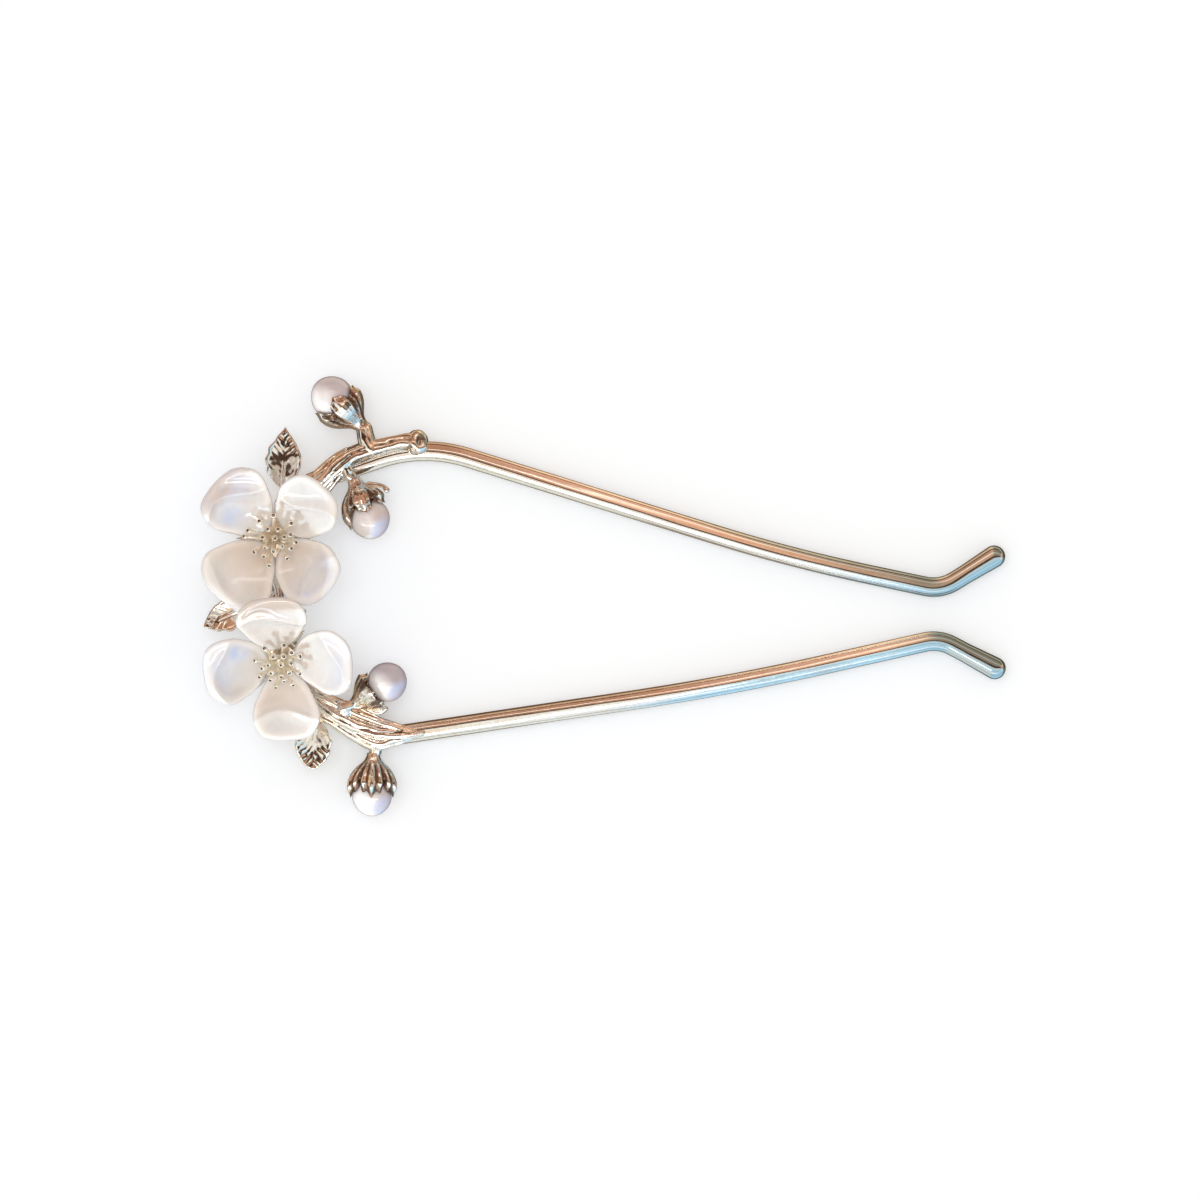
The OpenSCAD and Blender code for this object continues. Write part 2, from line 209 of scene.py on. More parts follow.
def fade(x, low, high):
    """0 below low, 1 above high, smooth between."""
    t = min(max((x - low) / (high - low), 0.0), 1.0)
    return t * t * (3 - 2 * t)


def grain(x, y, z, scale=1.0):
    """Smooth noise between -1 and 1."""
    return noise.noise(Vector((x * scale, y * scale, z * scale)))


def turn(degrees, axis):
    """The matrix of a turn about X, Y or Z."""
    return np.array(Matrix.Rotation(radians(degrees), 3, axis))


def angles(count):
    """Equal steps round a circle."""
    return [TAU * i / count for i in range(count)]


def towards(a, side, up):
    """The direction at angle a in the plane of two directions."""
    return cos(a) * side + sin(a) * up


def smooth_route(points, step):
    """A Catmull-Rom curve through the points, sampled about every step."""
    p = [np.array(q, float) for q in points]
    p = [2 * p[0] - p[1]] + p + [2 * p[-1] - p[-2]]
    out = []
    for i in range(1, len(p) - 2):
        n = max(2, int(np.linalg.norm(p[i + 1][:3] - p[i][:3]) / step))
        for k in range(n):
            t = k / n
            out.append(0.5 * (2 * p[i] + (p[i + 1] - p[i - 1]) * t
                              + (2 * p[i - 1] - 5 * p[i] + 4 * p[i + 1] - p[i + 2]) * t * t
                              + (3 * p[i] - p[i - 1] - 3 * p[i + 1] + p[i + 2]) * t ** 3))
    out.append(p[-2])
    return np.array(out)


# ---- shells: (points, faces, relief, along)

# Relief is how high a point stands in the surface's pattern, from 0 to 1. This is for plain surfaces.
PLAIN = 0.5
# Radius of the smallest ring at a closed end, and the clearance round rivets and pegs
NIB = 0.02
GAP = 0.02


def loft(rows, along=None):
    """A closed shell through rings of points, with a fan at each end. Each row is a ring of (point, relief).
    along is the length along the piece at each row."""
    n, count = len(rows[0]), len(rows)
    points = [p for row in rows for p, _ in row]
    points += [np.mean([p for p, _ in row], axis=0) for row in (rows[0], rows[-1])]
    relief = [r for row in rows for _, r in row] + [PLAIN] * 2
    faces = []
    for a in range(0, (count - 1) * n, n):
        b = a + n
        faces += [(a + i, a + (i + 1) % n, b + (i + 1) % n, b + i) for i in range(n)]
    last, middles = (count - 1) * n, count * n
    faces += [(middles, (i + 1) % n, i) for i in range(n)]
    faces += [(middles + 1, last + i, last + (i + 1) % n) for i in range(n)]
    if along is None:
        along = [k / (count - 1) for k in range(count)]
    lengths = [s for s in along for _ in range(n)] + [along[0], along[-1]]
    return np.array(points, float), faces, np.array(relief, float), np.array(lengths, float)


def circle(radius, z, around, centre=(0, 0)):
    """A level ring of plain points."""
    x, y = centre
    return [(np.array((x + radius * cos(a), y + radius * sin(a), z)), PLAIN) for a in angles(around)]


def lathe(profile, centre=(0, 0), around=64):
    """A shell turned round a vertical axis; profile is (radius, height) from one end to the other."""
    return loft([circle(r, z, around, centre) for r, z in profile])


def place(shell, move):
    return (np.array([move(p) for p in shell[0]]), *shell[1:])


def join(shells):
    """One shell of several, which may overlap."""
    base, faces = 0, []
    for points, own_faces, _, _ in shells:
        faces += [tuple(i + base for i in face) for face in own_faces]
        base += len(points)
    relief, along = (np.concatenate([shell[part] for shell in shells]) for part in (2, 3))
    return np.vstack([shell[0] for shell in shells]), faces, relief, along


def add(name, data):
    """A new object in the scene."""
    thing = bpy.data.objects.new(name, data)
    bpy.context.scene.collection.objects.link(thing)
    return thing


def mesh_of(shell):
    mesh = bpy.data.meshes.new("shell")
    mesh.from_pydata([tuple(p * MM) for p in shell[0]], [], shell[1])
    mesh.validate()
    return mesh


def vectors(mesh, key):
    """A vector of every point of a mesh."""
    values = np.zeros(len(mesh.vertices) * 3)
    mesh.vertices.foreach_get(key, values)
    return values.reshape(-1, 3)


def modified(mesh, kind, **settings):
    """The mesh after one modifier."""
    tool = add("tool", mesh)
    modifier = tool.modifiers.new("m", kind)
    for key, value in settings.items():
        setattr(modifier, key, value)
    graph = bpy.context.evaluated_depsgraph_get()
    out = bpy.data.meshes.new_from_object(tool.evaluated_get(graph))
    bpy.data.objects.remove(tool)
    return out


def boolean(mesh, operation, shells):
    """The mesh with shells added to it or cut out of it."""
    for shell in shells:
        helper = add("helper", mesh_of(shell))
        mesh = modified(mesh, "BOOLEAN", operation=operation, solver="MANIFOLD", object=helper)
        bpy.data.objects.remove(helper)
    return mesh


def union(shells):
    return boolean(mesh_of(shells[0]), "UNION", shells[1:])


def fuse(shell, voxel, rounds):
    """One even skin over overlapping shells, slightly smoothed."""
    mesh = modified(mesh_of(shell), "REMESH", mode="VOXEL", voxel_size=voxel * MM, use_smooth_shade=True)
    return modified(mesh, "SMOOTH", factor=0.5, iterations=rounds)


def carry(mesh, shell):
    """Relief and along for every point of the mesh, taken from the shell's nearest point."""
    points, _, relief, along = shell
    tree = KDTree(len(points))
    for i, p in enumerate(points):
        tree.insert(p, i)
    tree.balance()
    near = [tree.find(p)[1] for p in vectors(mesh, "co") / MM]
    return relief[near], along[near]


def dress(cad_name, suffix, mesh, slot, relief=None, along=None, tone_and_light=None):
    """Makes a piece of the visual model from a mesh and says which CAD node it stands for."""
    name = cad_name + suffix
    piece = add(name, mesh)
    mesh.name = name
    mesh.materials.clear()
    mesh.materials.append(LOOKS[slot])
    mesh.polygons.foreach_set("use_smooth", [True] * len(mesh.polygons))
    # The vector attribute carries the petals' and pearls' painted shade, painted glow and painted reflections,
    # beside their own colour
    for key, kind, field, values in (("relief", "FLOAT", "value", relief), ("along", "FLOAT", "value", along),
                                     ("tone_and_light", "FLOAT_VECTOR", "vector", tone_and_light)):
        if values is not None:
            layer = mesh.attributes.new(key, kind, "POINT")
            layer.data.foreach_set(field, np.asarray(values, np.float32).ravel())
    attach(piece, "root")
    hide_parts(cad_name)


# ---- materials

class Nodes:
    """A node tree, with a short way to make and link shader nodes."""

    def __init__(self, tree):
        self.tree = tree

    def feed(self, socket, value):
        """Links another node's socket, or sets a constant."""
        if isinstance(value, bpy.types.NodeSocket):
            self.tree.links.new(value, socket)
        else:
            socket.default_value = (*value, 1) if socket.type == "RGBA" else value

    def node(self, kind, inputs=None, **settings):
        made = self.tree.nodes.new("ShaderNode" + kind)
        for key, value in settings.items():
            setattr(made, key, value)
        for key, value in (inputs or {}).items():
            self.feed(made.inputs[key], value)
        return made

    def noise(self, scale, detail=3.0, rough=0.55, distort=0.0, stretch=(1, 1, 1)):
        """Noise on the object, its scale per millimetre. A stretch below 1 draws it out along that axis."""
        place_m = self.node("TexCoord").outputs["Object"]
        place_mm = self.node("Mapping", {"Vector": place_m, "Scale": tuple(1 / MM * s for s in stretch)})
        return self.node("TexNoise", {
            "Vector": place_mm.outputs["Vector"], "Scale": scale, "Detail": detail, "Roughness": rough,
            "Distortion": distort}).outputs["Fac"]

    def ramp(self, value, stops):
        made = self.node("ValToRGB", {"Fac": value})
        ends = made.color_ramp.elements
        while len(ends) < len(stops):
            ends.new(0.5)
        for end, (at, colour) in zip(ends, stops):
            end.position = at
            end.color = (*colour, 1)
        return made.outputs["Color"]

    def mix(self, factor, a, b, blend="MIX"):
        return self.node("Mix", {0: factor, 6: a, 7: b}, data_type="RGBA", blend_type=blend).outputs[2]

    def span(self, value, low, high, to_low=0.0, to_high=1.0):
        """The value, with low to high made to_low to to_high and held at the ends."""
        return self.node("MapRange", {"Value": value, "From Min": low, "From Max": high,
                                                "To Min": to_low, "To Max": to_high}).outputs["Result"]

    def maths(self, operation, a, b=0.0):
        return self.node("Math", {0: a, 1: b}, operation=operation).outputs[0]

    def times(self, a, b):
        return self.maths("MULTIPLY", a, b)

    def distance(self, a, b):
        return self.maths("ABSOLUTE", self.maths("SUBTRACT", a, b))

    def attribute(self, name, output="Fac"):
        return self.node("Attribute", attribute_name=name).outputs[output]

    def parts(self, vector):
        split = self.node("SeparateXYZ", {"Vector": vector}).outputs
        return split["X"], split["Y"], split["Z"]


class Look(Nodes):
    """A material with one principled shader."""

    def __init__(self, name, **sockets):
        self.material = bpy.data.materials.new(name)
        self.material.use_nodes = True
        super().__init__(self.material.node_tree)
        self.shader = self.tree.nodes["Principled BSDF"]
        for key, value in sockets.items():
            self.feed(self.shader.inputs[key.replace("_", " ")], value)

    def finish(self, colour, rough, height, strength, depth):
        """Links the colour and the roughness, and a fine bump up to depth mm deep."""
        relief = self.node("Bump", {"Height": height, "Strength": strength, "Distance": depth * MM})
        for key, value in (("Base Color", colour), ("Roughness", rough), ("Normal", relief.outputs["Normal"])):
            self.feed(self.shader.inputs[key], value)
        return self.material


CHAMPAGNE = (0.89, 0.8, 0.68)
SILVER_GOLD = (0.92, 0.89, 0.83)
ROSE_GOLD = (0.86, 0.7, 0.58)
COPPER = (0.82, 0.56, 0.42)
PATINA = (0.14, 0.08, 0.05)
# The plating near the prongs' tips has worn to a greyer metal
WORN_TIP = (0.66, 0.66, 0.6)
# Half the rod's length, and how far from its ends the wear starts and is full
HALF_ROD = 145.6
WEAR_STARTS, WEAR_FULL = 20, 11


def rod_gold():
    look = Look("rod_gold", Metallic=1.0, Roughness=0.12)
    along = look.attribute("along")
    streak = look.noise(0.9, 4, 0.6, 0.3, stretch=(0.16, 1, 1))
    fine = look.noise(1.6)
    drift = look.node("TexNoise", {"W": along, "Scale": 0.06, "Detail": 2.0},
                      noise_dimensions="1D").outputs["Fac"]
    warm = look.times(look.span(streak, 0.45, 0.7), look.span(drift, 0.4, 0.62, 0.25, 1.0))
    colour = look.mix(look.span(fine, 0.35, 0.65), CHAMPAGNE, SILVER_GOLD)
    colour = look.mix(warm, colour, ROSE_GOLD)
    worn = look.span(look.distance(along, HALF_ROD), HALF_ROD - WEAR_STARTS, HALF_ROD - WEAR_FULL)
    colour = look.mix(worn, colour, WORN_TIP)
    wear = look.noise(0.35, 5, 0.65)
    return look.finish(colour, look.span(wear, 0.35, 0.75, 0.07, 0.24), fine, 0.03, 0.02)


def cast_gold():
    """Bright on the ridges, with a dark patina in the grooves."""
    look = Look("cast_gold", Metallic=1.0, Roughness=0.16)
    broad, fine = look.noise(0.28, 3, 0.5), look.noise(2.6, 4, 0.6)
    colour = look.mix(look.span(broad, 0.38, 0.62), CHAMPAGNE, SILVER_GOLD)
    colour = look.mix(look.span(broad, 0.55, 0.7, 0.0, 0.5), colour, COPPER)
    height = look.maths("ADD", look.attribute("relief"), look.span(fine, 0.3, 0.7, -0.09, 0.09))
    colour = look.mix(look.span(height, 0.38, 0.13, 0.0, 0.94), colour, PATINA)
    rough = look.maths("ADD", look.span(height, 0.4, 0.1, 0.08, 0.32), look.span(fine, 0.3, 0.7, -0.03, 0.04))
    return look.finish(colour, rough, fine, 0.06, 0.03)


def stamen_gold():
    """Pale gold, with painted shade in the pits of the beads."""
    look = Look("stamen_gold", Metallic=1.0, Roughness=0.35)
    fine = look.noise(3.0, 3, 0.6)
    colour = look.mix(look.span(fine, 0.35, 0.65), (0.96, 0.88, 0.74), (0.97, 0.93, 0.85))
    # Painted shade: near black where the relief marks a bead's pit
    colour = look.mix(look.span(look.attribute("relief"), 0.3, 0.1), colour, (0.1, 0.06, 0.04))
    return look.finish(colour, look.span(fine, 0.3, 0.7, 0.3, 0.46), fine, 0.15, 0.02)


def brass(name, base, tarnished):
    """Plain drawn wire, with faint draw lines and tarnish."""
    look = Look(name, Metallic=1.0, Roughness=0.3)
    tarnish = look.noise(0.8, 4, 0.6)
    lines = look.noise(1.2, stretch=(6, 6, 0.4))
    colour = look.mix(look.span(tarnish, 0.4, 0.7, 0.0, 0.6), base, tarnished)
    return look.finish(colour, look.span(tarnish, 0.3, 0.7, 0.22, 0.42), lines, 0.15, 0.02)


def petal_opal():
    """Milky glass, with painted light from each point's warmth (a beige that is partly painted shade; over 1 a
    darker painted shade), coolness (a painted blue reflection) and nearness to the rim (a painted highlight,
    then a thin painted shade at the very edge).
    """
    look = Look("petal_opal", Roughness=0.16, IOR=1.5, Coat_Weight=1.0, Coat_Roughness=0.03,
                Subsurface_Weight=0.35, Subsurface_Radius=(1.0, 0.75, 0.6), Subsurface_Scale=0.9 * MM)
    warm, cool, share = look.parts(look.attribute("tone_and_light", "Vector"))
    cloud = look.noise(0.22, 4, 0.55, 0.6)
    wisps = look.noise(0.5, 5, 0.6, 0.8, stretch=(1, 0.5, 0.5))
    milk, dense_milk = (0.76, 0.745, 0.745), (0.84, 0.83, 0.83)
    # Of these, the beige is partly painted shade, the brown is painted shade, the blue is a painted reflection,
    # the pale rim colour is a painted highlight and the grey rim colour is a thin painted shade at the edge
    beige_and_shade, shade_brown = (0.79, 0.69, 0.62), (0.64, 0.55, 0.49)
    reflected_blue, rim_highlight_white, edge_shade_grey = (0.58, 0.67, 0.96), (0.98, 0.96, 0.95), (0.5, 0.5, 0.55)
    colour = look.mix(look.span(wisps, 0.3, 0.7), milk, dense_milk)
    # Partly painted shade: a beige towards the root, strongest on the petals that face away from the key
    colour = look.mix(look.times(warm, look.span(cloud, 0.25, 0.65, 0.55, 1.0)), colour, beige_and_shade)
    # Painted reflection of blue light, towards the outside and in the patch
    colour = look.mix(look.times(cool, look.span(cloud, 0.4, 0.62, 0.35, 1.0)), colour, reflected_blue)
    # Painted shade: brown at the outer part of a petal whose warmth there is over 1
    colour = look.mix(look.span(warm, 1.0, 1.6), colour, shade_brown)
    # Painted highlight: paler near the rim, less so where the warmth is high
    pale = look.times(look.span(share, 0.7, 0.88, 0.0, 0.6), look.span(warm, 0.95, 1.3, 1.0, 0.1))
    colour = look.mix(pale, colour, rim_highlight_white)
    # Painted shade: a thin grey line at the very edge
    colour = look.mix(look.span(share, 0.93, 1.0, 0.0, 0.6), colour, edge_shade_grey)
    return look.finish(colour, look.span(wisps, 0.3, 0.7, 0.06, 0.16), cloud, 0.1, 0.15)


def pearl():
    """Nacre, from each point's painted light and the pearl's greyness: how much painted glow from the key's
    side, how much painted blue reflection and how grey.
    """
    look = Look("pearl", Roughness=0.18, IOR=1.56, Coat_Weight=1.0, Coat_Roughness=0.04,
                Subsurface_Weight=0.3, Subsurface_Radius=(1.0, 0.7, 0.65), Subsurface_Scale=0.8 * MM)
    painted_glow, painted_blue, grey = look.parts(look.attribute("tone_and_light", "Vector"))
    swirl = look.noise(0.4, 4, 0.55, 1.2, stretch=(0.6, 1, 1))
    fine = look.noise(1.8, 4, 0.6)
    rose, pale_rose = (0.66, 0.55, 0.53), (0.76, 0.69, 0.7)
    specks, mauve = (0.62, 0.58, 0.62), (0.52, 0.47, 0.54)
    colour = look.mix(look.span(swirl, 0.3, 0.7), rose, pale_rose)
    colour = look.mix(look.span(fine, 0.42, 0.7, 0.0, 0.6), colour, specks)
    colour = look.mix(grey, colour, mauve)
    # Painted light: a near-white glow on the side towards the key
    colour = look.mix(look.times(painted_glow, look.span(swirl, 0.25, 0.6, 0.65, 1.0)), colour, (0.93, 0.91, 0.93))
    # Painted reflection of blue light on the lower right
    colour = look.mix(look.times(painted_blue, look.span(swirl, 0.35, 0.6, 0.4, 1.0)), colour, (0.56, 0.62, 0.88))
    return look.finish(colour, look.span(fine, 0.3, 0.7, 0.12, 0.26), fine, 0.06, 0.03)


LOOKS = {make.__name__: make() for make in (rod_gold, cast_gold, stamen_gold, petal_opal, pearl)}
PEG_BRASS = brass("peg_brass", (0.8, 0.62, 0.36), (0.42, 0.27, 0.14))
RIVET_GOLD = brass("rivet_gold", (0.86, 0.72, 0.54), (0.55, 0.38, 0.24))


# ---- the fork

def fork_axis(step=0.45):
    """Points along the rod's axis, with each bend as an arc."""
    corners = [np.array(c[:2], float) for c in FORK]
    out = [corners[0]]

    def straight(a, b):
        n = max(1, int(np.linalg.norm(b - a) / step))
        out.extend(a + (b - a) * k / n for k in range(1, n + 1))

    for i in range(1, len(FORK) - 1):
        back, on = unit(corners[i - 1] - corners[i]), unit(corners[i + 1] - corners[i])
        angle = pi - acos(np.clip(back @ on, -1, 1))
        radius = FORK[i][2]
        reach = radius * tan(angle / 2)
        a, b = corners[i] + back * reach, corners[i] + on * reach
        straight(out[-1], a)
        centre = corners[i] + unit(back + on) * radius / cos(angle / 2)
        n = max(4, int(radius * angle / step))
        start = a - centre
        side = 1 if start[0] * (b - centre)[1] - start[1] * (b - centre)[0] > 0 else -1
        for k in range(1, n + 1):
            t = side * angle * k / n
            c, s = cos(t), sin(t)
            out.append(centre + np.array((c * start[0] - s * start[1], s * start[0] + c * start[1])))
    straight(out[-1], corners[-1])
    return np.array(out)


def rod_shell(around=56):
    """The rod, thicker at its tips, with faint flutes and a dome at each end."""
    axis = fork_axis()
    at = np.concatenate(([0], np.cumsum(np.linalg.norm(np.diff(axis, axis=0), axis=1))))
    whole = at[-1]
    first, last = unit(axis[0] - axis[1]), unit(axis[-1] - axis[-2])
    # Each stop: its place, the length there, and how far into a dome it is, in the dome's radii
    dome = [sin(a) for a in np.linspace(0, pi / 2, 10)[1:]]
    stops = [(axis[0] + first * TIP_R * s, -TIP_R * s, s) for s in reversed(dome)]
    stops += [(p, s, 0.0) for p, s in zip(axis, at)]
    stops += [(axis[-1] + last * TIP_R * s, whole + TIP_R * s, s) for s in dome]
    rows = []
    for k, (p, length, inside) in enumerate(stops):
        t = unit(stops[min(k + 1, len(stops) - 1)][0] - stops[max(k - 1, 0)][0])
        side = np.array((-t[1], t[0], 0.0))
        middle = np.array((p[0], p[1], TIP_R))
        end = min(max(length, 0.0), max(whole - length, 0.0))
        radius = ROD_R + (TIP_R - ROD_R) * max(0.0, 1 - end / TIP_LEN)
        flute = fade(end, 3, 14)
        shrink = sqrt(max(1 - inside * inside, 0.0004))
        row = []
        for a in angles(around):
            wave = (0.026 * cos(5 * a + 1.3 * sin(length / 23)) + 0.014 * cos(9 * a - length / 31 + 1)
                    + 0.022 * grain(length / 9, 2 * cos(a), 2 * sin(a)))
            row.append((middle + (radius + flute * wave) * shrink * towards(a, side, UP), PLAIN + 8 * wave))
        rows.append(row)
    return loft(rows, [length for _, length, _ in stops])


def rounded(radius, low, high, edge, steps=6):
    """Profile of a disc with rounded edges."""
    turns = [pi / 2 * k / steps for k in range(steps + 1)]
    return ([(NIB, low)]
            + [(radius - edge + edge * sin(a), low + edge - edge * cos(a)) for a in turns]
            + [(radius - edge + edge * cos(a), high - edge + edge * sin(a)) for a in turns]
            + [(NIB, high)])


def build_fork():
    rod = rod_shell()
    shank = RIVET_R + GAP
    sink = [(NIB, -1), (SINK_R, -1), (SINK_R, 0), (shank, SINK_DEEP), (shank, 5), (NIB, 5)]
    pads, holes = [], []
    for x, y, _, _ in FLOWERS.values():
        pads.append(lathe(rounded(PAD_R, 0, PAD_TOP, PAD_EDGE), (x, y)))
        holes.append(lathe(sink, (x, y)))
    mesh = boolean(union([rod] + pads), "DIFFERENCE", holes)
    dress("fork", "_rod", mesh, "rod_gold", *carry(mesh, rod))


# ---- cast limbs

def limb(route, ribs, depth, twist, seed, around=44, step=0.22):
    """A cast limb along a route, ribbed like bark, with rounded ends."""
    points = smooth_route(route, step)
    axis = [p[:3] for p in points]
    radii = [max(p[3], 0.2) for p in points]
    dome = (0.25, 0.5, 0.75, 0.9, 0.985)

    def cap(end, inner, r, shares):
        out = unit(end - inner)
        return [(end + out * r * s, r * sqrt(1 - s * s)) for s in shares]

    stops = (cap(axis[0], axis[1], radii[0], dome[::-1]) + list(zip(axis, radii))
             + cap(axis[-1], axis[-2], radii[-1], dome))
    rows, along, length = [], [], 0.0
    for k, (p, r) in enumerate(stops):
        t = unit(stops[min(k + 1, len(stops) - 1)][0] - stops[max(k - 1, 0)][0])
        side = unit(np.cross(UP, t))
        up = np.cross(t, side)
        if k:
            length += np.linalg.norm(p - stops[k - 1][0])
        row = []
        for a in angles(around):
            wander = 1.1 * grain(length * 0.35 + seed, cos(a), sin(a))
            rib = 2 * abs(cos((ribs * a + twist * length + 1.6 * wander + seed) / 2)) ** 0.6 - 1.2
            bark = grain(length * 0.7 + 9 * seed, 1.6 * cos(a), 1.6 * sin(a))
            h = 0.75 * rib + 0.45 * bark
            row.append((p + (r + depth * h) * towards(a, side, up), PLAIN + 0.5 * h))
        rows.append(row)
        along.append(length)
    return loft(rows, along)


def torus_ring(centre, axis, radius, thick, around=40, section=14):
    """A raised ring round a limb."""
    axis = unit(axis)
    side = unit(np.cross(axis, UP + 0.01))
    up = np.cross(axis, side)
    points, faces, relief = [], [], []
    for i, a in enumerate(angles(around)):
        out = towards(a, side, up)
        t = thick * (1 + 0.25 * cos(3 * a + 1))
        for j, b in enumerate(angles(section)):
            points.append(centre + out * (radius + t * cos(b)) + axis * t * sin(b))
            relief.append(PLAIN + 0.4 * cos(b))
            i2, j2 = (i + 1) % around, (j + 1) % section
            faces.append((i * section + j, i * section + j2, i2 * section + j2, i2 * section + j))
    return np.array(points), faces, np.array(relief), np.zeros(len(points))


def knob(centre, radius, around=48, steps=24):
    """The rounded, slightly dented end of a cut twig."""
    flattened = np.array((0.86, 1.0, 0.9))
    rows = []
    for k in range(steps + 1):
        a = pi * (0.02 + 0.96 * k / steps)
        row = []
        for b in angles(around):
            out = np.array((cos(a), sin(a) * cos(b), sin(a) * sin(b)))
            dent = 0.16 * grain(*(out * 1.4 + 3)) - 0.14 * bump(float(out @ unit((0.5, 0.2, 0.85))), 1.0, 0.16)
            row.append((centre + out * radius * flattened * (1 + dent), 0.55 + 2.2 * dent))
        rows.append(row)
    return loft(rows)


def build_branch(name, routes, ribs, depth, extra=()):
    shells = [limb(route, ribs, depth, 0.24 * (-1) ** k, 1.7 * k + ribs) for k, route in enumerate(routes)]
    shell = join(shells + list(extra))
    mesh = fuse(shell, 0.11, 6)
    relief, along = carry(mesh, shell)
    points, normals = vectors(mesh, "co") / MM, vectors(mesh, "normal")
    # A little unevenness, as of a casting
    for i, p in enumerate(points):
        h = grain(*p, scale=1.1) * 0.03
        points[i] = p + normals[i] * h
        relief[i] += 1.5 * h
    mesh.vertices.foreach_set("co", (points * MM).ravel())
    mesh.update()
    dress(name, "_cast", mesh, "cast_gold", relief, along)


# ---- leaves

def leaf_shell(length, width, sharp, belly, wave, seed, steps=110, across=56):
    """A leaf with a raised rim, its base at the origin and its tip along X. Its veins fade towards the base."""
    vein_gap, vein_slope = 1.35, 1.25
    rows = []
    for k in range(steps + 1):
        u = (1 - cos(pi * k / steps)) / 2
        x = length * u
        half = max(width / 2 * max(sin(pi * u ** belly), 0) ** (0.7 + sharp * u), 0.02)
        smooth = fade(0.78 - u, 0, 0.3)
        top, bottom = [], []
        for j in range(across + 1):
            v = -1 + 2 * j / across
            edge = 0.13 * grain(x * 0.9 + seed, 3 * (1 if v > 0 else -1), 2.0) * abs(v)
            y = v * half * (1 + edge)
            cupped = 0.8 * (2 * y / width) ** 2 + 0.2 * abs(2 * y / width)
            lift = cupped + wave * sin(2.2 * u * pi) + 0.16 * grain(x / 2.4, y / 1.8, seed)
            thick = 0.42 * sqrt(max(1 - abs(v) ** 7, 0))
            slant = x - vein_slope * abs(y) + 0.55 * grain(x / 1.6, y / 1.6, seed + 5) + (0.6 if v > 0 else 0)
            strength = 0.75 + 0.4 * grain(x / 1.3, y / 1.1, seed + 9)
            vein = abs(cos(pi * slant / vein_gap)) ** 0.55 * strength
            inside = fade(1 - abs(v), 0.06, 0.2)
            mid = bump(y, 0.05 * sin(x), 0.27) * (1 - 0.5 * x / length)
            rim = bump(1 - abs(v), 0.07, 0.1)
            h = (0.24 * mid + (0.15 - 0.115 * smooth) * vein * inside * (1 - mid) + 0.17 * rim
                 + (0.05 - 0.035 * smooth) * grain(x, y, seed, 1.2))
            top.append((np.array((x, y, lift + thick + h * (0.3 + 0.7 * fade(half, 0.0, 1.0)))),
                        min(0.21 + 0.14 * smooth + 2.6 * h, 1)))
            bottom.append((np.array((x, y, lift - thick * 0.9 + 0.08 * mid)),
                           0.6 - 0.4 * mid + 0.2 * grain(x, y, seed, 1.5)))
        rows.append(top + bottom[::-1])
    return loft(rows)


def build_leaf(name, seed):
    x, y, z, way, length, width, rise, *foot = LEAVES[name]
    spin = turn(way, "Z") @ turn(-rise, "Y")
    base = np.array((x, y, z))
    blade = place(leaf_shell(length, width, *LEAF_FORMS[name], seed), lambda p: base + spin @ p)
    buried = base + turn(way, "Z")[:, 0] * 1.2 + UP * 0.15
    stalk = limb([(*foot, 0.72), (x, y, z, 0.52), (*buried, 0.4)], 3, 0.06, 0.3, seed)
    shell = join([blade, stalk])
    mesh = fuse(shell, 0.075, 1)
    dress(name, "_cast", mesh, "cast_gold", *carry(mesh, shell))


# ---- flowers

def flower_move(which):
    x, y, lean, _ = FLOWERS[which]
    tilt = turn(lean, "X")
    foot = np.array((x, y, FLOWER_Z))
    return lambda p: foot + tilt @ p


